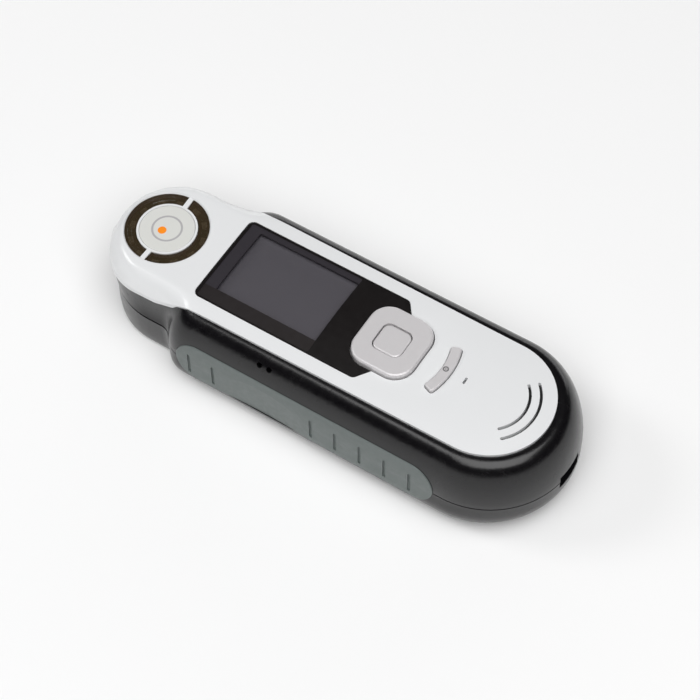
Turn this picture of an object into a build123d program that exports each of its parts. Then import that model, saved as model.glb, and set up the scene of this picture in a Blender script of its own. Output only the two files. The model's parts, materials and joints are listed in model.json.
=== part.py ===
"""Hand-held imaging colorimeter: a white top cover and a measuring head on a black housing.

Millimetres. +X runs from the measuring head to the tail, +Z is up, and the origin is
on the ground under the middle of the instrument. Each piece is one STEP file in parts/.
"""

import os
from math import asin, atan2, cos, hypot, pi, radians, sin, sqrt

from build123d import *

# ---------------------------------------------------------------- driving dimensions
# Heights
FOOT_Z = 1.0  # underside of the lower housing, above the rubber feet
SEAM_Z = 17.6  # parting line between the two housings
SEAM_GAP = 0.6  # height and depth of the groove along it
RIM_Z = 39.0  # top of the black housing, beside the white cover
EDGE_Z = 40.0  # edge of the white cover's top
CROWN = 1.8  # rise of the cover from its edge to its centre line
WALL = 2.0

# Plan of the white cover: two arcs joined by tangents
NOSE_X = -74.8
NOSE_R = 25.9
TAIL_X = 64.15
TAIL_R = 24.9
COVER_GAP = 0.15
COVER_SKIN = 2.0

# Plan of the black housing at the seam
HOUSING_TAIL_X = 64.8
HOUSING_TAIL_R = 34.6
SHOULDER_X = -51.0
SHOULDER_HALF = 34.4
SHOULDER_BULGE = 0.6  # share of the shoulder's reversed curve that is convex
NECK_X = -65.0
HEAD_X = -71.6
HEAD_HALF = 26.8
UPPER_INSET = 8.65  # how far the sides lean in from the seam up to the rim
SHOULDER_SHIFT = 11.0  # the shoulder slopes towards the tail as it rises
HEAD_TOP_INSET = 1.35
HEAD_LEAN_RISE = 0.35
LOWER_INSET = 7.0  # how far the sides lean in from the seam down to the floor
LOWER_BELLY = 1.4  # strength of the slight swelling just below the seam
HEAD_LOWER_INSET = 1.0
HEAD_FLOOR_SHIFT = -1.5
TAIL_FLOOR_SHIFT = -1.8
UPPER_LEVELS = [sin(radians(18 * step)) for step in range(6)]
LOWER_LEVELS = [0.0, 0.2, 0.4, 0.6, 0.75, 0.87, 0.95, 1.0]

# Measuring head
RING_X = -78.35
RING_OUTER_R = 16.3
RING_INNER_R = 11.9
RING_TOP = EDGE_Z + 0.8
RING_DROP = 0.8  # from the bezel down to the hub
RING_SKIN = 3.6
ROLL_START = 19.2  # distance from the head's axis at which the dome begins to roll over
ROLL_FALL = 9.5  # drop from the top to the edge at the nose
ROLL_SIDE_FALL = 8.0
ROLL_POWER = 2.2
FLAT_TO_X = -58.35  # the head's flat top blends into the crown between these two
CROWN_FROM_X = -40.35
STRUT = 2.0
DISC_R = 10.8
DISC_THICK = 1.2
HUB_TOP = RING_TOP - RING_DROP
SKIRT = [(-103.0, 24.4), (-90.0, 27.6), (-78.0, 30.3), (-68.0, 32.2), (-58.5, 35.6), (-51.0, 38.6)]

# Display
WINDOW_HEAD_X = -52.6
WINDOW_TAIL_X = 23.6
WINDOW_SHOULDER_X = 18.4
WINDOW_HALF = 19.75
WINDOW_TAIL_HALF = 13.0
WINDOW_THICK = 1.2
LCD_X = -23.85
LCD_LONG = 50.0
LCD_WIDE = 39.0

# Keys
PAD_X = 23.15
PAD_LONG = 25.9
PAD_WIDE = 27.3
PAD_CORNER = 8.0
PAD_TOP = 43.5
PAD_PIVOT_Z = 37.0
KEY_GAP = 0.45
SELECT_SIDE = 11.8
SELECT_TOP = 43.3
MENU_X = 46.05
MENU_LONG = 21.0
MENU_WIDE = 4.2
MENU_ARC_R = 28.6
MENU_TOP = 43.0
MIC_X = 54.2

# Domes under the keys: the middle and the four arms of the pad, and the menu button
ARM = 9.5
KEY_SPOTS = [(PAD_X, 0), (PAD_X + ARM, 0), (PAD_X - ARM, 0), (PAD_X, ARM), (PAD_X, -ARM), (MENU_X, 0)]

# Speaker
SLOT_RADII = (15.0, 19.0)
SLOT_WIDE = 1.1
SLOT_HALF_ANGLE = 45.0
SPEAKER_X = 74.0
SPEAKER_R = 11.0

# Side grips
GRIP_HEAD_X = -52.3
GRIP_TAIL_X = 61.6
GRIP_TOP_Z = 28.4
GRIP_BASE_Z = 9.2
GRIP_PROUD = 0.4
GRIP_DEPTH = 1.2
SCOOP_X = -14.0
SCOOP_LONG = 32.0
SCOOP_DEPTH = 0.45
RIB_XS = [-46.3, -35.4] + [8.7 + 10.75 * step for step in range(5)]

# Circuit boards
BOARD_Z = 29.4
BOARD_THICK = 1.6
BOARD_TOP = BOARD_Z + BOARD_THICK
BOARD_HEAD_X = -49.5
BOARD_TAIL_X = 78.0
BOARD_HALF = 25.6
LEDGE_Z = 34.6
LEDGE_TOP = 36.6

# Calibration dial under the head
DIAL_X = -69.35
DIAL_R = 16.5
DIAL_BASE_Z = 1.2
DIAL_THICK = 2.4
APERTURE_R = 5.5
STATION_R = DIAL_X - RING_X
DECK_Z = 3.9
DECK_THICK = 1.6

# Battery
BATTERY_BOX = (-34.0, 38.0, 21.0)  # head end, tail end and half width inside
BATTERY_ROOF = 13.2

# Fasteners
SCREW_PLACES = [(-55.5, 21.0), (-55.5, -21.0), (57.0, 21.5), (57.0, -21.5)]
SCREW_R = 1.2
SCREW_HEAD_R = 2.3
COLUMN_R = 3.1
COLUMN_TOP = 33.5
POST_PLACES = [(-20.0, 23.6), (-20.0, -23.6), (34.0, 23.6), (34.0, -23.6)]
POST_R = 1.9
SMALL_SCREW_R = 0.9

# Rubber feet
FOOT_PLACES = [(-44.0, 13.0), (-44.0, -13.0), (66.0, 14.0), (66.0, -14.0)]
FOOT_R = 3.8

# Wrist strap holes in the near shoulder
STRAP_XS = (-15.6, -11.4)
STRAP_Y = -27.1
STRAP_Z = 32.7
STRAP_R = 1.1

# USB socket
USB_Z = SEAM_Z
USB_RECESS = (94.8, 6.5, 3.6)  # back wall, half width and half height
USB_WALL = 1.4


# ---------------------------------------------------------------- helpers
def save(name, shape):
    export_step(shape, f"parts/{name}.step")


def block(x, y, z):
    """A box from three (low, high) pairs."""
    low = Vector(x[0], y[0], z[0])
    size = (x[1] - x[0], y[1] - y[0], z[1] - z[0])
    return Pos(low) * Box(*size, align=(Align.MIN, Align.MIN, Align.MIN))


def rod(x, y, z_low, z_high, radius):
    """An upright cylinder."""
    base = (Align.CENTER, Align.CENTER, Align.MIN)
    return Pos(x, y, z_low) * Cylinder(radius, z_high - z_low, align=base)


def tube(x, y, z_low, z_high, outer, inner):
    return rod(x, y, z_low, z_high, outer) - rod(x, y, z_low, z_high, inner)


def group(shapes):
    """Separate solids that share one node."""
    return Compound(children=[solid for shape in shapes for solid in shape.solids()])


def smoothstep(low, high, value):
    t = min(1.0, max(0.0, (value - low) / (high - low)))
    return t * t * (3 - 2 * t)


def prism(face, z_low, z_high):
    return Pos(0, 0, z_low) * extrude(face, z_high - z_low)


# ---------------------------------------------------------------- shared forms
def cover_outline(grow=0.0):
    """Plan of the white cover, grown or shrunk all round."""
    nose = NOSE_R + grow
    tail = TAIL_R + grow
    lean = asin((NOSE_R - TAIL_R) / (TAIL_X - NOSE_X))
    nose_side = (NOSE_X + nose * sin(lean), nose * cos(lean))
    tail_side = (TAIL_X + tail * sin(lean), tail * cos(lean))
    nose_near = (nose_side[0], -nose_side[1])
    tail_near = (tail_side[0], -tail_side[1])
    edges = [
        ThreePointArc(nose_side, (NOSE_X - nose, 0), nose_near),
        Line(nose_near, tail_near),
        ThreePointArc(tail_near, (TAIL_X + tail, 0), tail_side),
        Line(tail_side, nose_side),
    ]
    return make_face(Curve() + edges)


def skirt_height(x):
    """Height of the line where the white cover ends and the black housing begins."""
    if x <= SKIRT[0][0]:
        return SKIRT[0][1]
    for (x_low, z_low), (x_high, z_high) in zip(SKIRT, SKIRT[1:]):
        if x <= x_high:
            return z_low + (z_high - z_low) * (x - x_low) / (x_high - x_low)
    return SKIRT[-1][1]


def top_height(x, y):
    """Height of the white cover: crowned over the body, flat round the ring, rolled at the head."""
    across = abs(y) if x < TAIL_X else hypot(x - TAIL_X, y)
    crown = CROWN * (1 - (across / 25.4) ** 2)
    from_axis = hypot(x - NOSE_X, y) if x < NOSE_X else abs(y)
    roll = max(0.0, (from_axis - ROLL_START) / (NOSE_R - ROLL_START))
    bearing = atan2(abs(y), NOSE_X - x) if x < NOSE_X else pi / 2
    room = RING_TOP - skirt_height(x) - 0.3
    side = smoothstep(0, pi / 2, bearing)
    fall = min(ROLL_FALL + (ROLL_SIDE_FALL - ROLL_FALL) * side, room)
    head = RING_TOP - EDGE_Z - fall * roll**ROLL_POWER
    share = smoothstep(CROWN_FROM_X, FLAT_TO_X, x)
    return EDGE_Z + crown * (1 - share) + head * share


def top_surface():
    columns = [-101.5 + 193 * step / 72 for step in range(73)]
    rows = [-27.5 + 55 * step / 32 for step in range(33)]
    points = [[Vector(x, y, top_height(x, y)) for y in rows] for x in columns]
    return Face.make_surface_from_array_of_points(points, tol=0.02)


def under_top(depth_high, depth_low):
    """The layer between two depths below the cover's top surface."""
    moved = Pos(0, 0, -depth_high) * TOP
    return Solid.extrude(moved, Vector(0, 0, depth_high - depth_low))


def section_lean(level, upper):
    """Share of the inset at a level: a quarter ellipse above, a squarer curve with a belly below."""
    if upper:
        return 1 - sqrt(1 - level**2)
    edge = 0.6 * level**4 + 0.4 * level**12
    return edge - LOWER_BELLY * (level * (1 - level)) ** 2


def housing_outline(level, upper, grow):
    """Plan of the black housing at a level: 0 at the seam, 1 at the rim or the floor."""
    lean = section_lean(level, upper)
    if upper:
        inset = UPPER_INSET * lean
        share = min(1.0, level / HEAD_LEAN_RISE)
        head = HEAD_HALF - HEAD_TOP_INSET * share + grow
        head_x = HEAD_X + (NOSE_X - HEAD_X) * share
        tail_x = HOUSING_TAIL_X
        shift = SHOULDER_SHIFT * lean
    else:
        inset = LOWER_INSET * lean
        head = HEAD_HALF - HEAD_LOWER_INSET * lean + grow
        head_x = HEAD_X + HEAD_FLOOR_SHIFT * level
        tail_x = HOUSING_TAIL_X + TAIL_FLOOR_SHIFT * level
        shift = 0.0
    tail = HOUSING_TAIL_R - inset + grow
    side = SHOULDER_HALF - inset + grow
    shoulder_x = SHOULDER_X + shift - 0.6 * grow
    neck_x = NECK_X + shift - 0.6 * grow
    step = max(side - head, 0.3)
    reach = shoulder_x - neck_x
    radii = (reach**2 + step**2) / (2 * step)
    bulge = SHOULDER_BULGE * radii
    hollow = radii - bulge
    turn = asin(reach / radii)
    bulge_mid = (shoulder_x - bulge * sin(turn / 2), side - bulge * (1 - cos(turn / 2)))
    join = (shoulder_x - bulge * sin(turn), side - bulge * (1 - cos(turn)))
    hollow_mid = (neck_x + hollow * sin(turn / 2), head + hollow * (1 - cos(turn / 2)))
    far = [
        Line((tail_x, tail), (shoulder_x, side)),
        ThreePointArc((shoulder_x, side), bulge_mid, join),
        ThreePointArc(join, hollow_mid, (neck_x, head)),
        Line((neck_x, head), (head_x, head)),
    ]
    near = [mirror(edge, about=Plane.XZ) for edge in far]
    ends = [
        ThreePointArc((tail_x, -tail), (tail_x + tail, 0), (tail_x, tail)),
        ThreePointArc((head_x, head), (head_x - head, 0), (head_x, -head)),
    ]
    return make_face(Curve() + far + near + ends)


def seam_outline(grow):
    return housing_outline(0, True, grow)


def housing_form(upper, grow=0.0):
    """Solid form of one housing, from the seam to its rim or floor, grown by an offset."""
    end = RIM_Z + grow if upper else FOOT_Z - grow
    sections = [
        Pos(0, 0, SEAM_Z + (end - SEAM_Z) * level) * housing_outline(level, upper, grow)
        for level in (UPPER_LEVELS if upper else LOWER_LEVELS)
    ]
    return loft(sections)


def above_skirt():
    """Everything above the skirt line at the head."""
    line = Spline(*SKIRT)
    start = line @ 0
    end = line @ 1
    edges = [
        line,
        Line(end, (end.X, 60)),
        Line((end.X, 60), (start.X, 60)),
        Line((start.X, 60), start),
    ]
    side = Plane.XZ * make_face(Curve() + edges)
    return extrude(side, 45, both=True)


def rounded_square(x, long, wide, corner):
    return Pos(x, 0) * RectangleRounded(long, wide, corner)


def menu_outline(grow=0.0):
    """Bar button in plan: a short arc that bulges towards the tail, with rounded ends."""
    centre = MENU_X - MENU_ARC_R + 0.4
    outer = MENU_ARC_R + MENU_WIDE / 2 + grow
    inner = MENU_ARC_R - MENU_WIDE / 2 - grow
    half = (MENU_LONG / 2 + grow) / MENU_ARC_R
    ends = [(cos(angle), sin(angle)) for angle in (-half, half)]
    corners = [[(centre + radius * c, radius * s) for c, s in ends] for radius in (outer, inner)]
    edges = [
        ThreePointArc(corners[0][0], (centre + outer, 0), corners[0][1]),
        Line(corners[0][1], corners[1][1]),
        ThreePointArc(corners[1][1], (centre + inner, 0), corners[1][0]),
        Line(corners[1][0], corners[0][0]),
    ]
    face = make_face(Curve() + edges)
    return fillet(face.vertices(), 1.1 + grow)


def window_outline(grow=0.0):
    """Display window in plan: square at the head, tapered to the navigation pad."""
    half = WINDOW_HALF + grow
    tail_half = WINDOW_TAIL_HALF + grow
    corners = [
        (WINDOW_HEAD_X - grow, -half),
        (WINDOW_SHOULDER_X + grow, -half),
        (WINDOW_TAIL_X + grow, -tail_half),
        (WINDOW_TAIL_X + grow, tail_half),
        (WINDOW_SHOULDER_X + grow, half),
        (WINDOW_HEAD_X - grow, half),
    ]
    face = make_face(Polyline(corners, close=True))
    rounded = face.vertices().filter_by(lambda v: v.X < WINDOW_SHOULDER_X + 1)
    return fillet(rounded, 2.6 + grow)


def grip_outline(grow=0.0):
    """Side view of a grip: a slot shape along the seam."""
    tall = GRIP_TOP_Z - GRIP_BASE_Z + 2 * grow
    length = GRIP_TAIL_X - GRIP_HEAD_X + 2 * grow
    middle = ((GRIP_HEAD_X + GRIP_TAIL_X) / 2, (GRIP_TOP_Z + GRIP_BASE_Z) / 2)
    return Pos(*middle) * SlotOverall(length, tall)


def side_prism(face, side):
    """A side view carried outwards from the middle of the instrument; side is +1 or -1."""
    return extrude(Plane.XZ * face, -45 * side)


def speaker_slots():
    slots = []
    for radius in SLOT_RADII:
        middle = CenterArc((TAIL_X, 0), radius, -SLOT_HALF_ANGLE, 2 * SLOT_HALF_ANGLE)
        slots.append(SlotArc(middle, SLOT_WIDE))
    return Sketch() + slots


def ring_sector(outer, inner, gap, side):
    """Half of the head's annular window; side is -1 towards the nose and +1 towards the tail."""
    ring = Pos(RING_X, 0) * (Circle(outer) - Circle(inner))
    half = Pos(RING_X + side * (outer / 2 + gap / 2 + 1), 0) * Rectangle(outer + 2, 3 * outer)
    return ring & half


def turned(points):
    """A ring turned about the head's axis from (radius, height) corners."""
    profile = Plane.XZ * make_face(Polyline(points, close=True))
    return Pos(RING_X, 0, 0) * revolve(profile, Axis.Z)


def ring_hollow():
    """Dish in the top of the head, from a bevelled bezel down to the hub."""
    return turned([
        (0, HUB_TOP),
        (RING_INNER_R - 0.1, HUB_TOP),
        (RING_OUTER_R + 0.1, RING_TOP - 0.5),
        (RING_OUTER_R + 0.6, RING_TOP + 0.05),
        (RING_OUTER_R + 0.6, 50),
        (0, 50),
    ])


# ---------------------------------------------------------------- covers and housings
def make_top_cover():
    outline = cover_outline()
    sheet = prism(outline, 0, 60) & under_top(0, COVER_SKIN)
    wall = prism(outline, 0, 60) - prism(cover_outline(0.2 - COVER_SKIN), -1, 61)
    deep = under_top(0.5, 25)
    body_side = block((-51.0, 100), (-40, 40), (LEDGE_TOP, 60))
    skirt = wall & deep & (above_skirt() + body_side)
    pad = rod(RING_X, 0, RING_TOP - RING_SKIN, RING_TOP - 1.4, RING_OUTER_R + 1.2)
    cover = sheet + skirt + pad
    window_seat = prism(window_outline(0.1), 0, 60) & under_top(-1, WINDOW_THICK)
    opening = block((-48.5, 14.0), (-18.3, 18.3), (30, 50))
    pad_hole = prism(pad_outline(KEY_GAP), 30, 50)
    menu_hole = prism(menu_outline(0.3), 30, 50)
    mic_hole = block((MIC_X - 0.45, MIC_X + 0.45), (-1.4, 1.4), (30, 50))
    slots = prism(speaker_slots(), 30, 50)
    cover = cover - window_seat - opening - pad_hole - menu_hole - mic_hole - slots
    for side in (-1, 1):
        sector = ring_sector(RING_OUTER_R + 0.1, RING_INNER_R - 0.1, STRUT, side)
        cover = cover - prism(sector, 30, 50)
    return cover - ring_hollow() - rod(RING_X, 0, HUB_TOP - DISC_THICK, 50, DISC_R + 0.1)


def pad_outline(grow=0.0):
    return rounded_square(PAD_X, PAD_LONG + 2 * grow, PAD_WIDE + 2 * grow, PAD_CORNER + grow)


def grip_pockets(half):
    """Space that the two grips fill in one housing."""
    band = half["proud"] - half["floor"]
    return [band & side_prism(grip_outline(0.12), side) for side in (-1, 1)]


def usb_pocket(z_low, z_high):
    """Walls round the socket recess at the tail, and the recess itself."""
    back, wide, tall = USB_RECESS
    spread = USB_WALL + wide
    walls = block((back - USB_WALL, 99), (-spread, spread), (z_low, z_high))
    recess = block((back, 110), (-wide, wide), (USB_Z - tall, USB_Z + tall))
    mouth = block((back - 3, back + 1), (-3.9, 3.9), (USB_Z - 1.95, USB_Z + 1.95))
    return walls, recess + mouth


def make_upper_housing():
    ledge = prism(cover_outline(1.6), LEDGE_Z, LEDGE_TOP) - prism(
        cover_outline(-2.2), LEDGE_Z - 1, LEDGE_TOP + 1
    )
    ledge = ledge & block((-51.0, 100), (-40, 40), (0, 60))
    shell = UPPER["outer"] - UPPER["inner"] + (ledge & UPPER["outer"])
    for x, y in SCREW_PLACES:
        column = rod(x, y, SEAM_Z, COLUMN_TOP, COLUMN_R) + column_rib(x, y, SEAM_Z, COLUMN_TOP)
        shell = shell + (column & UPPER["outer"])
    for x, y in POST_PLACES:
        shell = shell + rod(x, y, BOARD_TOP, LEDGE_Z + 0.5, POST_R)
    walls, recess = usb_pocket(SEAM_Z, USB_Z + USB_RECESS[2] + USB_WALL)
    shell = shell + (walls & UPPER["outer"]) - recess
    seat = prism(cover_outline(COVER_GAP), LEDGE_TOP, 60)
    seat = seat & block((-51.0, 110), (-60, 60), (0, 60))
    under_sheet = prism(cover_outline(COVER_GAP), 20, 60) & under_top(-8, COVER_SKIN + 0.1)
    shell = shell - seat - above_skirt() - under_sheet
    band = prism(seam_outline(1.0), SEAM_Z, SEAM_Z + SEAM_GAP)
    groove = band - prism(seam_outline(-SEAM_GAP), SEAM_Z - 1, SEAM_Z + 1)
    shell = shell - groove
    for pocket in grip_pockets(UPPER):
        shell = shell - pocket
    for x, y in SCREW_PLACES:
        shell = shell - rod(x, y, SEAM_Z - 1, SEAM_Z + 12, SCREW_R)
    for x, y in POST_PLACES:
        shell = shell - rod(x, y, BOARD_TOP - 1, BOARD_TOP + 3.6, SMALL_SCREW_R)
    for x in STRAP_XS:
        shell = shell - strap_hole(x)
    return shell


def strap_hole(x):
    """One of the two holes for a wrist strap, square to the near shoulder."""
    return Pos(x, STRAP_Y, STRAP_Z) * Rot(50, 0, 0) * Cylinder(STRAP_R, 10)


def column_rib(x, y, z_low, z_high):
    """Web that ties a screw column to the side wall."""
    outside = 45.0 if y > 0 else -45.0
    return block((x - 0.8, x + 0.8), sorted((y, outside)), (z_low, z_high))


def make_lower_housing():
    shell = LOWER["outer"] - LOWER["inner"]
    head_x, tail_x, half = BATTERY_BOX
    wall = 2.4
    roof = 1.2
    box = block((head_x - wall, tail_x + wall), (-half - wall, half + wall), (2, BATTERY_ROOF))
    ring = rod(DIAL_X, 0, FOOT_Z, DECK_Z + DECK_THICK, DIAL_R + 1.8)
    boss = rod(DIAL_X, 0, DECK_Z + DECK_THICK, 9.5, 3.6)
    shell = shell + (box & LOWER["outer"]) + (ring & LOWER["outer"]) + boss
    for x, y in SCREW_PLACES:
        shell = shell + (rod(x, y, 2, SEAM_Z, COLUMN_R) & LOWER["outer"])
    for x, y in FOOT_PLACES:
        shell = shell + (rod(x, y, 2, 4.2, 5.2) & LOWER["outer"])
    walls, recess = usb_pocket(USB_Z - USB_RECESS[2] - USB_WALL, SEAM_Z)
    shell = shell + (walls & LOWER["outer"]) - recess
    door_x = (head_x - 1.5, tail_x + 1.5)
    door_y = (-half - 1.3, half + 1.3)
    shell = shell - block((head_x, tail_x), (-half, half), (0, BATTERY_ROOF - roof))
    shell = shell - block(door_x, door_y, (0, 3.0))
    shell = shell - rod(DIAL_X, 0, 0, DECK_Z, DIAL_R + 0.3)
    shell = shell - rod(RING_X, 0, 0, 12, 6.4) - rod(DIAL_X, 0, 0, 12, SCREW_R)
    for pocket in grip_pockets(LOWER):
        shell = shell - pocket
    for x, y in SCREW_PLACES:
        shell = shell - rod(x, y, 0, SEAM_Z + 1, SCREW_R) - rod(x, y, 0, 6.5, SCREW_HEAD_R)
    for x, y in FOOT_PLACES:
        shell = shell - rod(x, y, 0, 2.2, FOOT_R)
    return shell


def make_grip(side):
    """Moulded rubber grip that follows both housings across the seam."""
    grip = None
    for half in (UPPER, LOWER):
        piece = (half["skin"] - half["floor"]) & side_prism(grip_outline(), side)
        grip = piece if grip is None else grip + piece
    for x in RIB_XS:
        slot = Pos(x, 17.4) * Rot(0, 0, 90) * SlotOverall(11.0, 1.3)
        cut = side_prism(slot, side)
        for half in (UPPER, LOWER):
            grip = grip - ((half["proud"] - half["groove"]) & cut)
    scoop_r = SCOOP_LONG**2 / (8 * SCOOP_DEPTH)
    scoop_y = SHOULDER_HALF + GRIP_PROUD - SCOOP_DEPTH + scoop_r
    return grip - rod(SCOOP_X, side * scoop_y, 0, 40, scoop_r)


def make_window():
    window = prism(window_outline(), 0, 60) & under_top(0, WINDOW_THICK)
    return window - prism(pad_outline(KEY_GAP), 30, 50)


# ---------------------------------------------------------------- head
def make_ring_window(side):
    """Smoked half ring, terraced in three steps down to the hub."""
    sector = ring_sector(RING_OUTER_R, RING_INNER_R, STRUT + 0.2, side)
    profile = [(RING_INNER_R - 0.1, RING_TOP - 3.0), (RING_OUTER_R + 0.1, RING_TOP - 3.0)]
    profile += [(RING_OUTER_R + 0.1, RING_TOP - 0.55)]
    profile += [(15.2, RING_TOP - 0.65), (15.0, RING_TOP - 0.85)]
    profile += [(13.7, RING_TOP - 0.95), (13.5, RING_TOP - 1.15)]
    profile += [(RING_INNER_R - 0.1, RING_TOP - 1.25)]
    return turned(profile) & prism(sector, 30, 50)


def make_head_disc():
    disc = rod(RING_X, 0, HUB_TOP - DISC_THICK, HUB_TOP + 0.1, DISC_R)
    return fillet(disc.edges().group_by(Axis.Z)[-1], 0.3)


def make_ring_board():
    return tube(RING_X, 0, 35.4, 36.6, 17.0, 10.4)


def make_ring_leds():
    leds = []
    for step in range(12):
        led = Pos(14.2, 0, 0) * Box(2.0, 3.0, 0.9, align=(Align.CENTER, Align.CENTER, Align.MIN))
        leds.append(Pos(RING_X, 0, 36.6) * Rot(0, 0, 15 + 30 * step) * led)
    return group(leds)


def make_optics_barrel():
    """Black tube from the deck up to the sensor board, with a flange under the ring board."""
    barrel = tube(RING_X, 0, DECK_Z + DECK_THICK, 35.4, 12.6, 11.4)
    flange = tube(RING_X, 0, 34.2, 35.4, 15.0, 11.4)
    step = tube(RING_X, 0, 16.2, 17.4, 11.4, 10.4)
    return barrel + flange + step - rod(DIAL_X, 0, 0, 10.5, 3.9)


def make_reflector():
    """White cone that spreads the measuring light round the aperture."""
    outer = Pos(RING_X, 0, 6.7) * Cone(7.6, 10.9, 9.5, align=(Align.CENTER, Align.CENTER, Align.MIN))
    inner = Pos(RING_X, 0, 6.7) * Cone(6.4, 9.9, 9.5, align=(Align.CENTER, Align.CENTER, Align.MIN))
    return outer - inner - rod(DIAL_X, 0, 0, 10.5, 3.9)


def make_light_board():
    return tube(RING_X, 0, 17.4, 18.6, 11.3, 5.8)


def make_light_leds():
    leds = []
    for step in range(8):
        led = Pos(8.4, 0, 0) * Box(1.6, 1.6, 0.8, align=(Align.CENTER, Align.CENTER, Align.MIN))
        leds.append(Pos(RING_X, 0, 16.6) * Rot(0, 0, 45 * step) * led)
    return group(leds)


def make_lens_barrel():
    body = tube(RING_X, 0, 18.6, 30.0, 7.4, 4.6)
    stop = tube(RING_X, 0, 21.4, 22.2, 4.6, 3.2)
    return body + stop


def make_lens():
    base = rod(RING_X, 0, 22.2, 25.6, 4.6)
    dome = Pos(RING_X, 0, 14.8) * Sphere(10.8)
    return base & dome


def make_dial():
    """Turning shutter: an open aperture and, a quarter turn away, a white tile."""
    top = DIAL_BASE_Z + DIAL_THICK
    dial = rod(DIAL_X, 0, DIAL_BASE_Z, top, DIAL_R)
    dial = fillet(dial.edges().group_by(Axis.Z)[0], 0.6)
    dial = dial - rod(RING_X, 0, 0, 10, APERTURE_R)
    dial = dial - rod(DIAL_X, STATION_R, top - 1.2, 10, APERTURE_R + 0.6)
    finger = Pos(DIAL_X + 6.5, -6.5, 0) * Rot(0, 0, 45) * Box(12.0, 2.2, 1.5)
    bar = Pos(0, 0, 1.05) * finger
    dial = dial + bar
    dial = dial - rod(DIAL_X, 0, 0, 10, SCREW_R + 0.05) - rod(DIAL_X, 0, 0, 2.2, 3.2)
    return dial


def make_dial_screw():
    head = rod(DIAL_X, 0, 1.0, 2.15, 2.9)
    shank = rod(DIAL_X, 0, 2.15, 9.0, SCREW_R)
    return head + shank


# ---------------------------------------------------------------- keys
def make_nav_pad():
    body = prism(pad_outline(), 37.9, PAD_TOP)
    body = fillet(body.edges().group_by(Axis.Z)[-1], 1.1)
    flange = prism(pad_outline(1.2), 37.3, 37.9)
    pad = body + flange
    side = SELECT_SIDE + 0.8
    return pad - prism(rounded_square(PAD_X, side, side, 3.2), 30, 50)


def make_select_button():
    cap = prism(rounded_square(PAD_X, SELECT_SIDE, SELECT_SIDE, 2.8), 38.6, SELECT_TOP)
    cap = fillet(cap.edges().group_by(Axis.Z)[-1], 0.7)
    return cap + rod(PAD_X, 0, 36.7, 38.6, 3.0)


def make_nav_pivot():
    """Thin spring ring that lets the pad rock both ways, clear of the pad and the mat."""
    return tube(PAD_X, 0, PAD_PIVOT_Z - 0.5, PAD_PIVOT_Z - 0.25, 8.0, 7.0)


def make_menu_button():
    cap = prism(menu_outline(), 38.3, MENU_TOP)
    cap = fillet(cap.edges().group_by(Axis.Z)[-1], 0.6)
    return cap + prism(menu_outline(0.9), 37.6, 38.3)


def make_key_mat():
    """Silicone mat with a skirt on the board and a nib over each dome."""
    sheet = block((6.5, 50.4), (-18, 18), (35.2, 36.0))
    skirt = block((6.5, 50.4), (-18, 18), (BOARD_TOP, 35.2))
    skirt = skirt - block((7.7, 49.2), (-16.8, 16.8), (BOARD_TOP - 1, 36))
    mat = sheet + skirt
    for x, y in KEY_SPOTS:
        mat = mat + rod(x, y, 31.8, 35.2, 1.5)
    return mat


def make_domes():
    return group([rod(x, y, BOARD_TOP, BOARD_TOP + 0.4, 2.6) for x, y in KEY_SPOTS])


# ---------------------------------------------------------------- electronics
def make_main_board():
    straight = block((BOARD_HEAD_X, 56), (-BOARD_HALF, BOARD_HALF), (BOARD_Z, BOARD_TOP))
    narrow = block((56, BOARD_TAIL_X), (-15, 15), (BOARD_Z, BOARD_TOP))
    board = straight + narrow
    for x, y in POST_PLACES:
        board = board - rod(x, y, BOARD_Z - 1, BOARD_TOP + 1, SMALL_SCREW_R)
    for x, y in SCREW_PLACES:
        board = board - rod(x, y, BOARD_Z - 1, BOARD_TOP + 1, COLUMN_R + 0.4)
    return board


def make_board_chips():
    chips = [
        block((10, 24), (-7, 7), (BOARD_Z - 1.2, BOARD_Z)),
        block((28, 36), (-4, 4), (BOARD_Z - 1.0, BOARD_Z)),
        block((-46, -38), (-12, -6), (BOARD_Z - 0.9, BOARD_Z)),
        block((-46, -38), (6, 12), (BOARD_Z - 0.9, BOARD_Z)),
        block((42, 49), (-16, -10), (BOARD_Z - 2.2, BOARD_Z)),
        block((42, 49), (10, 16), (BOARD_Z - 1.4, BOARD_Z)),
    ]
    return group(chips)


def make_shield():
    outer = block((-32, 4), (-15, 15), (BOARD_Z - 3.2, BOARD_Z))
    return outer - block((-31.7, 3.7), (-14.7, 14.7), (BOARD_Z - 2.9, BOARD_Z + 1))


def make_board_screws():
    screws = []
    for x, y in POST_PLACES:
        head = rod(x, y, BOARD_Z - 1.2, BOARD_Z, 1.8)
        screws.append(head + rod(x, y, BOARD_Z, BOARD_TOP + 3.2, SMALL_SCREW_R))
    return group(screws)


def make_housing_screws():
    screws = []
    for x, y in SCREW_PLACES:
        head = rod(x, y, 4.4, 6.5, SCREW_HEAD_R - 0.1)
        slot = block((x - 0.4, x + 0.4), (y - 2, y + 2), (0, 5.1))
        screws.append(head - slot + rod(x, y, 6.5, SEAM_Z + 10, SCREW_R))
    return group(screws)


def lcd_box(grow, z_low, z_high):
    half_long = LCD_LONG / 2 + grow
    half_wide = LCD_WIDE / 2 + grow
    return block((LCD_X - half_long, LCD_X + half_long), (-half_wide, half_wide), (z_low, z_high))


def make_lcd_frame():
    frame = lcd_box(1.4, BOARD_TOP, 38.2) - lcd_box(0, 33.6, 40)
    frame = frame - lcd_box(-1.5, 30, 33.0)
    return frame - block((0, 6), (-8.3, 8.3), (36.1, 36.9))


def make_lcd_flex():
    joint_x = LCD_X + LCD_LONG / 2
    tongue = block((joint_x, joint_x + 2.0), (-8, 8), (36.4, 36.6))
    drop = block((joint_x + 1.8, joint_x + 2.0), (-8, 8), (BOARD_TOP, 36.4))
    return tongue + drop


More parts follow.
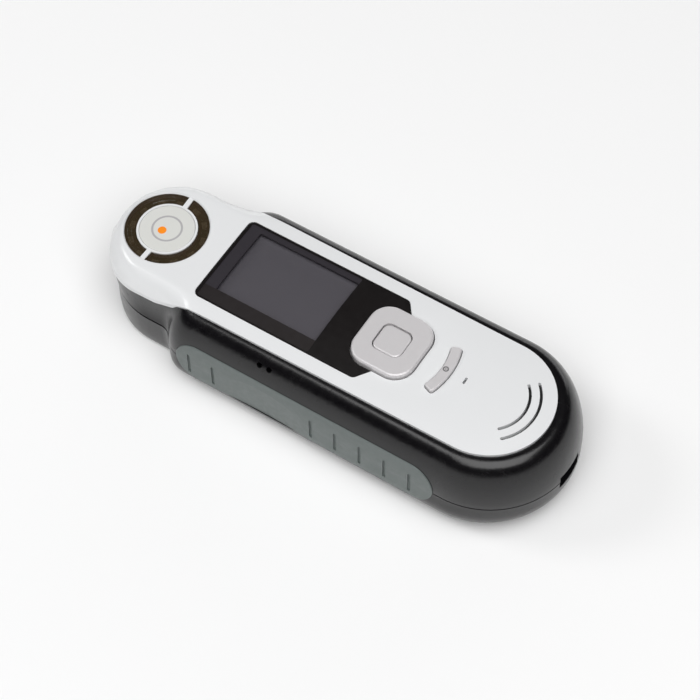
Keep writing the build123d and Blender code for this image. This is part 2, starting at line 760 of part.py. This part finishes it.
def make_speaker():
    basket = tube(SPEAKER_X, 0, 33.4, 37.8, SPEAKER_R, SPEAKER_R - 1.2)
    plate = rod(SPEAKER_X, 0, 33.4, 34.2, SPEAKER_R)
    magnet = rod(SPEAKER_X, 0, BOARD_TOP, 36.0, 5.0)
    cone = tube(SPEAKER_X, 0, 36.0, 36.4, SPEAKER_R - 1.2, 3.0)
    return basket + plate + magnet + cone + rod(SPEAKER_X, 0, 36.0, 36.8, 3.0)


def make_speaker_mesh():
    zone = Pos(76.0, 0) * RectangleRounded(16.0, 30.0, 5.0)
    inside = zone & (Pos(TAIL_X, 0) * Circle(21.5))
    return prism(inside, 30, 50) & under_top(COVER_SKIN, COVER_SKIN + 0.3)


def make_microphone():
    return rod(MIC_X, 0, 37.0, 39.2, 1.9)


def make_mic_boot():
    boot = rod(MIC_X, 0, BOARD_TOP, 39.2, 2.5) - rod(MIC_X, 0, 37.0, 40, 1.9)
    return boot - rod(MIC_X, 0, BOARD_TOP - 1, 36, 1.2)


def make_usb_socket():
    back = USB_RECESS[0]
    shell = block((back - 9.2, back), (-3.85, 3.85), (USB_Z - 1.9, USB_Z + 1.9))
    mouth = block((back - 6.5, back + 1), (-3.45, 3.45), (USB_Z - 1.5, USB_Z + 1.5))
    tongue = block((back - 6.5, back - 1.0), (-2.6, 2.6), (USB_Z - 0.1, USB_Z + 0.7))
    return shell - mouth + tongue


def make_usb_board():
    back = USB_RECESS[0]
    return block((68, back - USB_WALL), (-10, 10), (USB_Z - 3.3, USB_Z - 1.9))


# ---------------------------------------------------------------- battery
def make_battery():
    pack = block((-27.5, 36.5), (-19, 19), (3.4, 11.4))
    return fillet(pack.edges().filter_by(Axis.X), 1.6)


def make_battery_door():
    head_x, tail_x, half = BATTERY_BOX
    door = block((head_x - 1.3, tail_x + 1.3), (-half - 1.1, half + 1.1), (1.3, 2.95))
    for step in range(3):
        x = tail_x - 5 + 2.2 * step
        door = door - block((x - 0.4, x + 0.4), (-7, 7), (1.0, 1.8))
    return door


def make_battery_contacts():
    leaves = []
    for y in (-6, 0, 6):
        base = block((-34.0, -33.6), (y - 1.2, y + 1.2), (5.0, 11.0))
        leaf = block((-33.6, -27.5), (y - 1.0, y + 1.0), (7.2, 7.6))
        leaves.append(base + leaf)
    return group(leaves)


def make_feet():
    feet = []
    for x, y in FOOT_PLACES:
        foot = rod(x, y, 0, 2.2, FOOT_R)
        feet.append(fillet(foot.edges().group_by(Axis.Z)[0], 0.4))
    return group(feet)


# ---------------------------------------------------------------- build
def make_forms(upper):
    return {
        "outer": housing_form(upper),
        "inner": housing_form(upper, -WALL),
        "skin": housing_form(upper, GRIP_PROUD),
        "proud": housing_form(upper, GRIP_PROUD + 1.0),
        "groove": housing_form(upper, GRIP_PROUD - 0.7),
        "floor": housing_form(upper, -GRIP_DEPTH),
    }


TOP = top_surface()
UPPER = make_forms(True)
LOWER = make_forms(False)

MAKERS = {
    "top_cover": make_top_cover,
    "upper_housing": make_upper_housing,
    "lower_housing": make_lower_housing,
    "grip_far": lambda: make_grip(1),
    "grip_near": lambda: make_grip(-1),
    "display_window": make_window,
    "ring_window_nose": lambda: make_ring_window(-1),
    "ring_window_tail": lambda: make_ring_window(1),
    "head_disc": make_head_disc,
    "ring_light_board": make_ring_board,
    "ring_leds": make_ring_leds,
    "optics_barrel": make_optics_barrel,
    "reflector_cone": make_reflector,
    "measuring_light_board": make_light_board,
    "measuring_leds": make_light_leds,
    "lens_barrel": make_lens_barrel,
    "lens": make_lens,
    "image_sensor": lambda: block((RING_X - 3.5, RING_X + 3.5), (-3.5, 3.5), (30.0, 31.0)),
    "sensor_board": lambda: rod(RING_X, 0, 31.0, 32.2, 10.8),
    "aperture_glass": lambda: rod(RING_X, 0, 4.4, 5.5, 6.4),
    "calibration_dial": make_dial,
    "calibration_tile": lambda: rod(DIAL_X, STATION_R, 2.4, 3.5, APERTURE_R + 0.6),
    "dial_screw": make_dial_screw,
    "nav_pad": make_nav_pad,
    "nav_pivot_ring": make_nav_pivot,
    "select_button": make_select_button,
    "menu_button": make_menu_button,
    "key_mat": make_key_mat,
    "key_domes": make_domes,
    "main_board": make_main_board,
    "board_chips": make_board_chips,
    "shield_can": make_shield,
    "board_screws": make_board_screws,
    "housing_screws": make_housing_screws,
    "lcd_frame": make_lcd_frame,
    "lcd_backlight": lambda: lcd_box(0, 33.6, 36.2),
    "lcd_panel": lambda: lcd_box(0, 36.2, 38.2),
    "lcd_flex": make_lcd_flex,
    "speaker": make_speaker,
    "speaker_mesh": make_speaker_mesh,
    "microphone": make_microphone,
    "mic_boot": make_mic_boot,
    "usb_socket": make_usb_socket,
    "usb_board": make_usb_board,
    "battery": make_battery,
    "battery_door": make_battery_door,
    "battery_contacts": make_battery_contacts,
    "rubber_feet": make_feet,
}

os.makedirs("parts", exist_ok=True)
for node, maker in MAKERS.items():
    save(node, maker())
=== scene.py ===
"""Looks of the hand-held imaging colorimeter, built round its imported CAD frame. Metres."""

import json
import math

import bmesh
import bpy
from mathutils import Matrix, Vector


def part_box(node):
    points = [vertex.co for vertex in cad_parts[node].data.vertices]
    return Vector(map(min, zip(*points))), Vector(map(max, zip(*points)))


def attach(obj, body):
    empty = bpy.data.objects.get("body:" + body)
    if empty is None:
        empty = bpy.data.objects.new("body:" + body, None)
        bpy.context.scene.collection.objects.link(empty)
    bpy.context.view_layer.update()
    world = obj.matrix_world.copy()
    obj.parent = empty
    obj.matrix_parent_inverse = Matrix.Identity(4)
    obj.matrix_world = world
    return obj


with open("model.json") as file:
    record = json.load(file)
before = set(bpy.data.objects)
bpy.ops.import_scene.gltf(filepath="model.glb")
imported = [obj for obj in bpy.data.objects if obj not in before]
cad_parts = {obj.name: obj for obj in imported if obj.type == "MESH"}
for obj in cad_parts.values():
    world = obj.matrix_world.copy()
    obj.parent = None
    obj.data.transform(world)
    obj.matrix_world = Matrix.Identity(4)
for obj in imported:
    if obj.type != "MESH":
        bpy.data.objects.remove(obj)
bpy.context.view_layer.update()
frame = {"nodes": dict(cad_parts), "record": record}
MM = 0.001

# ---------------------------------------------------------------- camera
AIM = Vector((3.4, 0.7, 20.0)) * MM
AZIMUTH = math.radians(35.73)
ELEVATION = math.radians(57.25)
ROLL = math.radians(-3.53)
DISTANCE = 0.830
LENS = 113.1

# ---------------------------------------------------------------- sizes
HEAD_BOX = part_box("head_disc")
HEAD_X = (HEAD_BOX[0][0] + HEAD_BOX[1][0]) / 2
LAYER_SHRINK = 0.9965  # the layers under the window are a hair smaller in plan than it is
CUT_PAST = 3 * MM
PRINT_DEPTH = 0.25 * MM
BEZEL_DEPTH = 0.55 * MM
# Openings inside the display window: border at its head end, length, near border, far border
PRINT_OPENING = [size * MM for size in (1.3, 49.6, 0.85, 0.85)]
BEZEL_OPENING = [size * MM for size in (6.3, 44.4, 6.35, 3.15)]
INK_HEIGHT = 0.02 * MM
INK_SOFT = 0.03 * MM
DISC_RING = (5.3 * MM, 6.1 * MM)
DOT_SHIFT = (-1.2 * MM, -1.6 * MM)
DOT_R = 1.7 * MM
MENU_MARK_X = 46.1 * MM
MENU_RING = (0.62 * MM, 1.15 * MM)
MENU_DOT_R = 0.3 * MM

# ---------------------------------------------------------------- light
# Height of the view direction, and how bright the room is there
ROOM = {"From Min": 0.45, "From Max": 0.85, "To Min": 0.06, "To Max": 0.60}
# Place, width and length in metres, and watts
LAMPS = {
    "softbox": ((0.5, -0.6, 2.0), (2.4, 2.4), 60),
    "side": ((-1.2, -0.4, 1.1), (0.5, 0.5), 5),
    "far_wall": ((-0.5, 1.7, 0.30), (2.6, 0.6), 9),
}


def make_camera():
    """Looks at AIM from the given angles, with a slight roll."""
    back = Vector((
        math.sin(AZIMUTH) * math.cos(ELEVATION),
        -math.cos(AZIMUTH) * math.cos(ELEVATION),
        math.sin(ELEVATION),
    ))
    level = Vector((math.cos(AZIMUTH), math.sin(AZIMUTH), 0))
    upward = back.cross(level)
    right = level * math.cos(ROLL) + upward * math.sin(ROLL)
    up = -level * math.sin(ROLL) + upward * math.cos(ROLL)
    data = bpy.data.cameras.new("camera")
    data.lens = LENS
    data.sensor_width = 36.0
    data.clip_start = 0.01
    data.clip_end = 20
    camera = bpy.data.objects.new("camera", data)
    bpy.context.scene.collection.objects.link(camera)
    turn = Matrix((right, up, back)).transposed().to_4x4()
    camera.matrix_world = Matrix.Translation(AIM + back * DISTANCE) @ turn
    bpy.context.scene.camera = camera


# ---------------------------------------------------------------- materials
class Shader:
    """A material being built: short calls that add and link its nodes."""

    def __init__(self, name, **settings):
        self.material = bpy.data.materials.new(name)
        self.material.use_nodes = True
        self.tree = self.material.node_tree
        self.main = self.tree.nodes["Principled BSDF"]
        for label, value in settings.items():
            self.main.inputs[label.replace("_", " ")].default_value = value
        self.place = self.node("ShaderNodeTexCoord").outputs["Object"]

    def node(self, kind, **settings):
        node = self.tree.nodes.new(kind)
        for label, value in settings.items():
            setattr(node, label, value)
        return node

    def link(self, source, target):
        self.tree.links.new(source, target)

    def noise(self, scale, detail=2.0, rough=0.5, source=None):
        node = self.node("ShaderNodeTexNoise")
        node.inputs["Scale"].default_value = scale
        node.inputs["Detail"].default_value = detail
        node.inputs["Roughness"].default_value = rough
        self.link(source or self.place, node.inputs["Vector"])
        return node.outputs["Fac"]

    def span(self, value, low, high, start=0.0, end=1.0):
        """Value mapped from (start, end) to (low, high)."""
        node = self.node("ShaderNodeMapRange")
        node.inputs["From Min"].default_value = start
        node.inputs["From Max"].default_value = end
        node.inputs["To Min"].default_value = low
        node.inputs["To Max"].default_value = high
        self.link(value, node.inputs["Value"])
        return node.outputs["Result"]

    def mix(self, factor, first, second):
        node = self.node("ShaderNodeMix", data_type="RGBA")
        self.link(factor, node.inputs[0])
        for colour, socket in ((first, node.inputs[6]), (second, node.inputs[7])):
            if isinstance(colour, tuple):
                socket.default_value = (*colour, 1)
            else:
                self.link(colour, socket)
        return node.outputs[2]

    def tone(self, colour, spread, scale):
        """Base colour with a soft uneven tone."""
        dark = tuple(c * (1 - spread) for c in colour)
        light = tuple(min(1.0, c * (1 + spread)) for c in colour)
        uneven = self.noise(scale, 3.0)
        self.link(self.mix(uneven, dark, light), self.main.inputs["Base Color"])

    def sheen_range(self, low, high, scale):
        """Roughness that wanders between two values."""
        wander = self.noise(scale, 4.0)
        self.link(self.span(wander, low, high, 0.3, 0.7), self.main.inputs["Roughness"])

    def bump(self, height, distance, strength):
        node = self.node("ShaderNodeBump")
        node.inputs["Strength"].default_value = strength
        node.inputs["Distance"].default_value = distance
        self.link(height, node.inputs["Height"])
        self.link(node.outputs["Normal"], self.main.inputs["Normal"])


def white_gloss():
    """Gloss-moulded white cover with a barely uneven tone and a very fine texture."""
    look = Shader("white_gloss", Coat_Weight=0.35, Coat_Roughness=0.08, IOR=1.47)
    look.tone((0.760, 0.768, 0.776), 0.010, 60)
    look.sheen_range(0.29, 0.32, 60)
    look.bump(look.noise(5200, 1.0), 0.000004, 0.2)
    return look.material


def black_satin():
    """Fine-textured black moulding with an uneven tone and sheen."""
    look = Shader("black_satin", IOR=1.5)
    look.tone((0.0042, 0.0038, 0.0046), 0.2, 90)
    look.sheen_range(0.20, 0.28, 400)
    look.bump(look.noise(5200, 2.0, 0.6), 0.00003, 0.35)
    return look.material


def grip_rubber():
    """Grey-green elastomer with a fine matte grain and smoother patches."""
    look = Shader("grip_rubber", Sheen_Weight=0.12, Sheen_Roughness=0.5, IOR=1.45)
    look.tone((0.128, 0.150, 0.145), 0.07, 160)
    look.sheen_range(0.46, 0.62, 500)
    look.bump(look.noise(3600, 3.0, 0.6), 0.00005, 0.5)
    return look.material


def window_smoke():
    """Dark clear plastic: what lies under it shows through."""
    look = Shader("window_smoke", Alpha=0.28, IOR=1.52)
    look.tone((0.004, 0.0035, 0.0045), 0.1, 70)
    look.sheen_range(0.05, 0.08, 120)
    look.bump(look.noise(160, 1.0), 0.00001, 0.12)
    return look.material


def ring_smoke():
    """Smoked brown lens, lightly turned about the head's axis so that it catches light in rings."""
    look = Shader("ring_smoke", Alpha=0.62, IOR=1.56)
    look.tone((0.052, 0.033, 0.018), 0.25, 120)
    look.sheen_range(0.10, 0.22, 150)
    shift = look.node("ShaderNodeMapping")
    shift.inputs["Location"].default_value = (-HEAD_X, 0, 0)
    look.link(look.place, shift.inputs["Vector"])
    rings = look.node("ShaderNodeTexWave", wave_type="RINGS", rings_direction="Z")
    rings.inputs["Scale"].default_value = 320
    rings.inputs["Distortion"].default_value = 0.4
    look.link(shift.outputs["Vector"], rings.inputs["Vector"])
    look.bump(rings.outputs["Fac"], 0.00003, 0.35)
    return look.material


def disc_offwhite():
    """Matt off-white plastic."""
    look = Shader("disc_offwhite", IOR=1.46)
    look.tone((0.665, 0.668, 0.640), 0.015, 300)
    look.sheen_range(0.34, 0.44, 500)
    look.bump(look.noise(3000, 2.0), 0.00002, 0.3)
    return look.material


def key_silver():
    """Painted keys: a warm silver grey with a fine pearl in it."""
    look = Shader("key_silver", Metallic=0.15, Coat_Weight=0.3, Coat_Roughness=0.12, IOR=1.48)
    flakes = look.noise(9000, 1.0)
    pearl = look.mix(flakes, (0.605, 0.585, 0.594), (0.685, 0.668, 0.676))
    look.link(pearl, look.main.inputs["Base Color"])
    look.sheen_range(0.28, 0.38, 500)
    look.bump(look.noise(1500, 2.0), 0.00001, 0.3)
    return look.material


def brushed(name, colour, low, high):
    """Metal with fine lines drawn along X."""
    look = Shader(name, Metallic=1.0)
    stretch = look.node("ShaderNodeMapping")
    stretch.inputs["Scale"].default_value = (40, 3000, 900)
    look.link(look.place, stretch.inputs["Vector"])
    lines = look.noise(1.0, 3.0, 0.6, stretch.outputs["Vector"])
    dark = tuple(c * 0.86 for c in colour)
    look.link(look.mix(lines, dark, colour), look.main.inputs["Base Color"])
    look.link(look.span(lines, low, high, 0.3, 0.7), look.main.inputs["Roughness"])
    look.bump(lines, 0.00001, 0.3)
    return look.material


def steel():
    """Plated steel."""
    return brushed("steel", (0.62, 0.62, 0.64), 0.22, 0.38)


def gold_contact():
    """Gold-plated contacts."""
    return brushed("gold_contact", (0.86, 0.62, 0.25), 0.16, 0.28)


def circuit_green():
    """Solder mask with the copper runs showing as lighter, raised lines."""
    look = Shader("circuit_green", Coat_Weight=0.3, Coat_Roughness=0.15, IOR=1.5)
    cells = look.node("ShaderNodeTexBrick")
    cells.inputs["Scale"].default_value = 90
    cells.inputs["Mortar Size"].default_value = 0.035
    cells.inputs["Brick Width"].default_value = 0.7
    cells.inputs["Row Height"].default_value = 0.18
    cells.inputs["Color1"].default_value = (0.012, 0.12, 0.045, 1)
    cells.inputs["Color2"].default_value = (0.018, 0.15, 0.055, 1)
    cells.inputs["Mortar"].default_value = (0.03, 0.22, 0.09, 1)
    look.link(look.place, cells.inputs["Vector"])
    look.link(cells.outputs["Color"], look.main.inputs["Base Color"])
    look.sheen_range(0.30, 0.42, 300)
    look.bump(cells.outputs["Fac"], 0.00004, 0.5)
    return look.material


def mesh_cloth():
    """Black acoustic cloth: two crossed sets of threads."""
    look = Shader("mesh_cloth", Roughness=0.85, Sheen_Weight=0.4, Sheen_Roughness=0.4)
    threads = []
    for direction in ("X", "Y"):
        wave = look.node("ShaderNodeTexWave", bands_direction=direction)
        wave.inputs["Scale"].default_value = 900
        look.link(look.place, wave.inputs["Vector"])
        threads.append(wave.outputs["Fac"])
    crossed = look.node("ShaderNodeMath", operation="MULTIPLY")
    look.link(threads[0], crossed.inputs[0])
    look.link(threads[1], crossed.inputs[1])
    weave = crossed.outputs[0]
    thread = look.mix(weave, (0.006, 0.006, 0.006), (0.04, 0.04, 0.042))
    look.link(thread, look.main.inputs["Base Color"])
    look.bump(weave, 0.0001, 0.7)
    return look.material


def lcd_screen():
    """Unlit display: a grey polariser over a barely visible dot pitch."""
    look = Shader("lcd_screen", IOR=1.5)
    grid = look.node("ShaderNodeTexBrick", offset=0.0)
    grid.inputs["Scale"].default_value = 700
    grid.inputs["Mortar Size"].default_value = 0.06
    grid.inputs["Brick Width"].default_value = 0.33
    grid.inputs["Row Height"].default_value = 0.33
    grid.inputs["Color1"].default_value = (0.315, 0.298, 0.335, 1)
    grid.inputs["Color2"].default_value = (0.330, 0.312, 0.350, 1)
    grid.inputs["Mortar"].default_value = (0.27, 0.256, 0.29, 1)
    look.link(look.place, grid.inputs["Vector"])
    look.link(grid.outputs["Color"], look.main.inputs["Base Color"])
    look.sheen_range(0.30, 0.40, 200)
    look.bump(look.noise(800, 1.0), 0.00001, 0.15)
    return look.material


def clear_glass():
    """Optical glass."""
    look = Shader("clear_glass", Transmission_Weight=1.0, IOR=1.52)
    look.tone((0.95, 0.97, 0.97), 0.01, 50)
    look.sheen_range(0.01, 0.04, 120)
    look.bump(look.noise(90, 1.0), 0.00001, 0.1)
    return look.material


def moulded(slot):
    """Uneven tone, wandering sheen and a grain, from the slot's row in the table."""
    colour, low, high, grain, spread, settings = MOULDED[slot]
    look = Shader(slot, **settings)
    look.tone(colour, spread, grain * 0.1)
    look.sheen_range(low, high, grain * 0.25)
    look.bump(look.noise(grain, 2.0, 0.6), 0.00003, 0.4)
    return look.material


# Slot: colour, roughness low and high, grain, spread of the tone, other settings
MOULDED = {
    "chip_black": ((0.018, 0.018, 0.019), 0.42, 0.55, 5000, 0.06, {}),
    "led_white": ((0.82, 0.79, 0.52), 0.20, 0.30, 2500, 0.08, {"Coat_Weight": 0.4}),
    "optic_black": ((0.030, 0.028, 0.031), 0.40, 0.55, 4000, 0.12, {}),
    "reflector_white": ((0.86, 0.86, 0.84), 0.60, 0.75, 3000, 0.02, {}),
    "tile_white": ((0.88, 0.88, 0.86), 0.08, 0.14, 1200, 0.01, {"Coat_Weight": 0.5}),
    "silicone": ((0.48, 0.49, 0.50), 0.50, 0.65, 2200, 0.05, {"Sheen_Weight": 0.2}),
    "lcd_white": ((0.74, 0.75, 0.77), 0.35, 0.45, 2600, 0.02, {}),
    "flex_amber": ((0.50, 0.24, 0.05), 0.22, 0.34, 1800, 0.12, {"Coat_Weight": 0.3}),
    "speaker_black": ((0.025, 0.025, 0.027), 0.45, 0.60, 3000, 0.1, {}),
    "battery_wrap": ((0.06, 0.085, 0.15), 0.24, 0.36, 900, 0.08, {"Coat_Weight": 0.3}),
    "foot_rubber": ((0.020, 0.020, 0.021), 0.60, 0.75, 3200, 0.12, {"Sheen_Weight": 0.2}),
}
SPECIAL = {
    "white_gloss": white_gloss,
    "black_satin": black_satin,
    "grip_rubber": grip_rubber,
    "window_smoke": window_smoke,
    "ring_smoke": ring_smoke,
    "disc_offwhite": disc_offwhite,
    "key_silver": key_silver,
    "circuit_green": circuit_green,
    "steel": steel,
    "gold_contact": gold_contact,
    "mesh_cloth": mesh_cloth,
    "lcd_screen": lcd_screen,
    "clear_glass": clear_glass,
}
MADE = {}


def material(slot):
    """The material of a slot, made once."""
    if slot not in MADE:
        MADE[slot] = SPECIAL[slot]() if slot in SPECIAL else moulded(slot)
    return MADE[slot]


def dress_nodes():
    """Gives every CAD node the material of its slot in the record."""
    slots = {part["node"]: part["material_slot"] for part in frame["record"]["subparts"]}
    for node, piece in frame["nodes"].items():
        piece.data.materials.clear()
        piece.data.materials.append(material(slots[node]))


# ---------------------------------------------------------------- pieces
def piece_from(name, bm, body, own):
    """Puts a bmesh into the scene as a finished piece, with its own material."""
    bmesh.ops.recalc_face_normals(bm, faces=bm.faces)
    mesh = bpy.data.meshes.new(name)
    bm.to_mesh(mesh)
    bm.free()
    for face in mesh.polygons:
        face.use_smooth = False
    piece = bpy.data.objects.new(name, mesh)
    bpy.context.scene.collection.objects.link(piece)
    mesh.materials.append(own)
    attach(piece, body)
    return piece


def rounded_rectangle(low, high, radius, steps=8):
    """Corner points of a rounded rectangle in plan, anticlockwise."""
    points = []
    corners = [
        (high[0], high[1], 0),
        (low[0], high[1], 90),
        (low[0], low[1], 180),
        (high[0], low[1], 270),
    ]
    for x, y, start in corners:
        cx = x - math.copysign(radius, x - (low[0] + high[0]) / 2)
        cy = y - math.copysign(radius, y - (low[1] + high[1]) / 2)
        for step in range(steps + 1):
            angle = math.radians(start + 90 * step / steps)
            points.append((cx + radius * math.cos(angle), cy + radius * math.sin(angle)))
    return points


def sunk_copy(name, depth, opening, radius, own):
    """A layer inside the display window: its shape, lowered, with a rounded opening cut through."""
    bm = bmesh.new()
    bm.from_mesh(frame["nodes"]["display_window"].data)
    low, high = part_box("display_window")
    middle = (low + high) / 2
    for vert in bm.verts:
        vert.co.x = middle.x + (vert.co.x - middle.x) * LAYER_SHRINK
        vert.co.y = middle.y + (vert.co.y - middle.y) * LAYER_SHRINK
        vert.co.z -= depth
    layer = piece_from(name, bm, "root", own)
    head, length, near, far = opening
    start = low.x + head
    cutter = bmesh.new()
    outline = rounded_rectangle((start, low.y + near), (start + length, high.y - far), radius)
    lower = [cutter.verts.new((x, y, low.z - CUT_PAST)) for x, y in outline]
    upper = [cutter.verts.new((x, y, high.z + CUT_PAST)) for x, y in outline]
    cutter.faces.new(lower[::-1])
    cutter.faces.new(upper)
    for this in range(len(outline)):
        after = (this + 1) % len(outline)
        cutter.faces.new((lower[this], lower[after], upper[after], upper[this]))
    mesh = bpy.data.meshes.new("cutter")
    cutter.to_mesh(mesh)
    cutter.free()
    tool = bpy.data.objects.new("cutter", mesh)
    bpy.context.scene.collection.objects.link(tool)
    cut = layer.modifiers.new("opening", "BOOLEAN")
    cut.operation = "DIFFERENCE"
    cut.object = tool
    apply_modifiers(layer)
    bpy.data.objects.remove(tool)


def apply_modifiers(piece):
    """Gives a piece the mesh that its modifiers show."""
    shown = piece.evaluated_get(bpy.context.evaluated_depsgraph_get())
    mesh = bpy.data.meshes.new_from_object(shown)
    piece.modifiers.clear()
    piece.data = mesh


def print_black():
    """Black print on the back of the window."""
    look = Shader("print_black", IOR=1.45)
    look.tone((0.0125, 0.0100, 0.0095), 0.2, 120)
    look.sheen_range(0.35, 0.45, 400)
    look.bump(look.noise(3000, 2.0), 0.00001, 0.2)
    return look.material


def bezel_grey():
    """Frame of the display module, with painted shade: darker in the strip on the near side."""
    look = Shader("bezel_grey", IOR=1.45)
    split = look.node("ShaderNodeSeparateXYZ")
    look.link(look.place, split.inputs[0])
    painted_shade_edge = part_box("display_window")[0][1] + BEZEL_OPENING[2]
    far = look.span(split.outputs["Y"], 0, 1, painted_shade_edge - 0.1 * MM, painted_shade_edge + 0.1 * MM)
    # Painted shade: the near strip gets the darker, shaded colour, the far side the lit one.
    colour = look.mix(far, (0.040, 0.034, 0.034), (0.062, 0.056, 0.066))
    look.link(colour, look.main.inputs["Base Color"])
    look.sheen_range(0.30, 0.40, 400)
    look.bump(look.noise(2600, 2.0), 0.00001, 0.3)
    return look.material


def make_display_layers():
    """Black print round the display, and the display module's frame under it."""
    black = print_black()
    grey = bezel_grey()
    sunk_copy("display_print", PRINT_DEPTH, PRINT_OPENING, 0.9 * MM, black)
    sunk_copy("display_bezel", BEZEL_DEPTH, BEZEL_OPENING, 0.4 * MM, grey)


def ring_mark(name, place, radii, body, own, segments=48):
    """A flat printed ring, or a dot where the inner radius is 0, standing a hair proud."""
    x, y, z = place
    inner, outer = radii
    profile = [(outer, -INK_HEIGHT), (outer, 0), (outer - INK_SOFT, INK_HEIGHT)]
    if inner > 0:
        profile += [(inner + INK_SOFT, INK_HEIGHT), (inner, 0), (inner, -INK_HEIGHT)]
    bm = bmesh.new()
    loops = []
    for radius, rise in profile:
        loop = []
        for step in range(segments):
            angle = 2 * math.pi * step / segments
            across = x + radius * math.cos(angle)
            along = y + radius * math.sin(angle)
            loop.append(bm.verts.new((across, along, z + rise)))
        loops.append(loop)
    pairs = list(zip(loops, loops[1:]))
    if inner > 0:
        pairs.append((loops[-1], loops[0]))
    else:
        bm.faces.new(loops[-1])
        bm.faces.new(loops[0][::-1])
    for first, second in pairs:
        for this in range(segments):
            after = (this + 1) % segments
            bm.faces.new((first[this], first[after], second[after], second[this]))
    piece_from(name, bm, body, own)


def ink(name, colour):
    """Printing ink with a fine tooth."""
    look = Shader(name, IOR=1.45)
    look.tone(colour, 0.05, 900)
    look.sheen_range(0.35, 0.5, 900)
    look.bump(look.noise(6000, 2.0), 0.00001, 0.3)
    return look.material


def make_marks():
    """Generic printed marks: ring and dot on the head's disc, and a target on the menu button."""
    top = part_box("head_disc")[1][2]
    grey = ink("ink_grey", (0.42, 0.41, 0.42))
    orange = ink("ink_orange", (0.95, 0.27, 0.01))
    ring_mark("disc_ring", (HEAD_X, 0, top), DISC_RING, "root", grey, 96)
    dot = (HEAD_X + DOT_SHIFT[0], DOT_SHIFT[1], top)
    ring_mark("disc_dot", dot, (0, DOT_R), "root", orange)
    menu = (MENU_MARK_X, 0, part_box("menu_button")[1][2])
    dark = ink("ink_dark", (0.16, 0.155, 0.16))
    ring_mark("menu_ring", menu, MENU_RING, "menu_key", dark)
    ring_mark("menu_dot", menu, (0, MENU_DOT_R), "menu_key", dark)


# ---------------------------------------------------------------- studio
def area_light(name, place, size, power):
    """A soft rectangular lamp that faces the origin."""
    data = bpy.data.lights.new(name, "AREA")
    data.shape = "RECTANGLE"
    data.size, data.size_y = size
    data.energy = power
    lamp = bpy.data.objects.new(name, data)
    bpy.context.scene.collection.objects.link(lamp)
    lamp.location = place
    lamp.rotation_euler = (-Vector(place)).to_track_quat("-Z", "Y").to_euler()


def make_world():
    """Dim room, brighter overhead than at eye level."""
    world = bpy.data.worlds.new("studio")
    bpy.context.scene.world = world
    world.use_nodes = True
    tree = world.node_tree
    background = tree.nodes["Background"]
    place = tree.nodes.new("ShaderNodeTexCoord").outputs["Generated"]
    split = tree.nodes.new("ShaderNodeSeparateXYZ")
    ramp = tree.nodes.new("ShaderNodeMapRange")
    for label, value in ROOM.items():
        ramp.inputs[label].default_value = value
    tree.links.new(place, split.inputs[0])
    tree.links.new(split.outputs["Z"], ramp.inputs["Value"])
    tree.links.new(ramp.outputs["Result"], background.inputs["Strength"])


def make_floor():
    """Plain pale paper under the object."""
    bpy.ops.mesh.primitive_plane_add(size=6)
    floor = bpy.context.object
    floor.name = "floor"
    look = Shader("floor_paper", Roughness=0.9)
    look.tone((0.92, 0.92, 0.92), 0.01, 4)
    floor.data.materials.append(look.material)


make_camera()
dress_nodes()
make_display_layers()
make_marks()
make_world()
make_floor()
bpy.context.scene.view_settings.view_transform = "Standard"
for name, settings in LAMPS.items():
    area_light(name, *settings)
